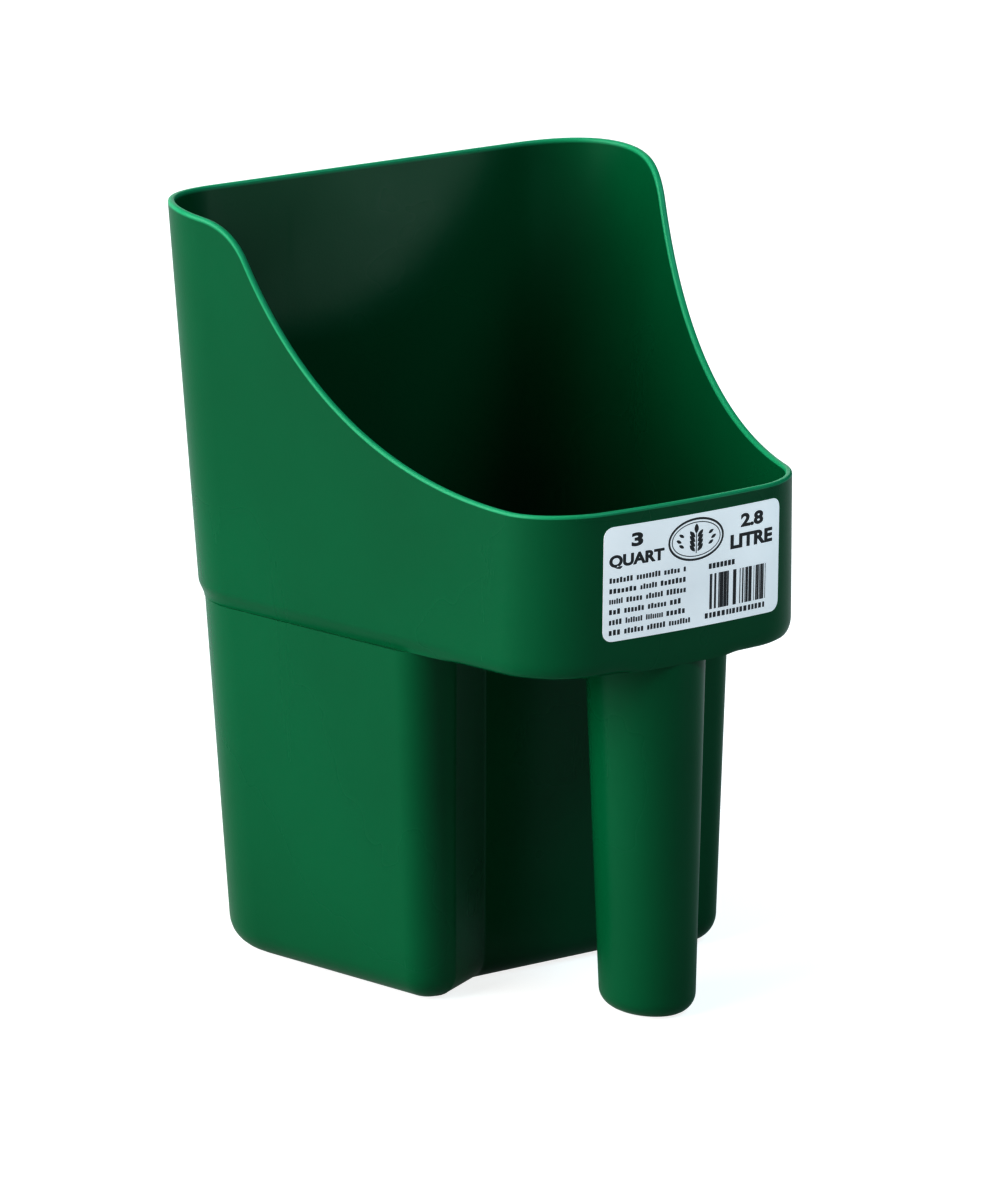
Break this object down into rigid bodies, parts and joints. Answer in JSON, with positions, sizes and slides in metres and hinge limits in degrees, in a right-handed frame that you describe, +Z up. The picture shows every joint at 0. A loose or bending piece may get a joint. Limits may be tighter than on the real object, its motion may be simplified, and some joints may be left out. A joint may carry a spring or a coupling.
{
  "type": "feed scoop",
  "caption": "Deep moulded plastic feed scoop with a high back, a low pouring lip, a lower bin set back under it, an upright handle under the front and a printed film label.",
  "frame": {"origin": "on the ground, under the middle of the scoop's bounding box", "axes": "+Z up, -Y the front, with the pouring lip, the label and the handle, +X to the right of someone facing +Y"},
  "size_m": [0.1758, 0.1818, 0.2477],
  "materials": {
    "moulded_plastic": "satin moulded polyethylene, deep green",
    "label_film": "printed white film"
  },
  "bodies": {
    "root": {"upper_bin": "moulded_plastic", "lower_bin": "moulded_plastic", "handle_grip": "moulded_plastic", "label_film": "label_film"}
  },
  "joints": []
}
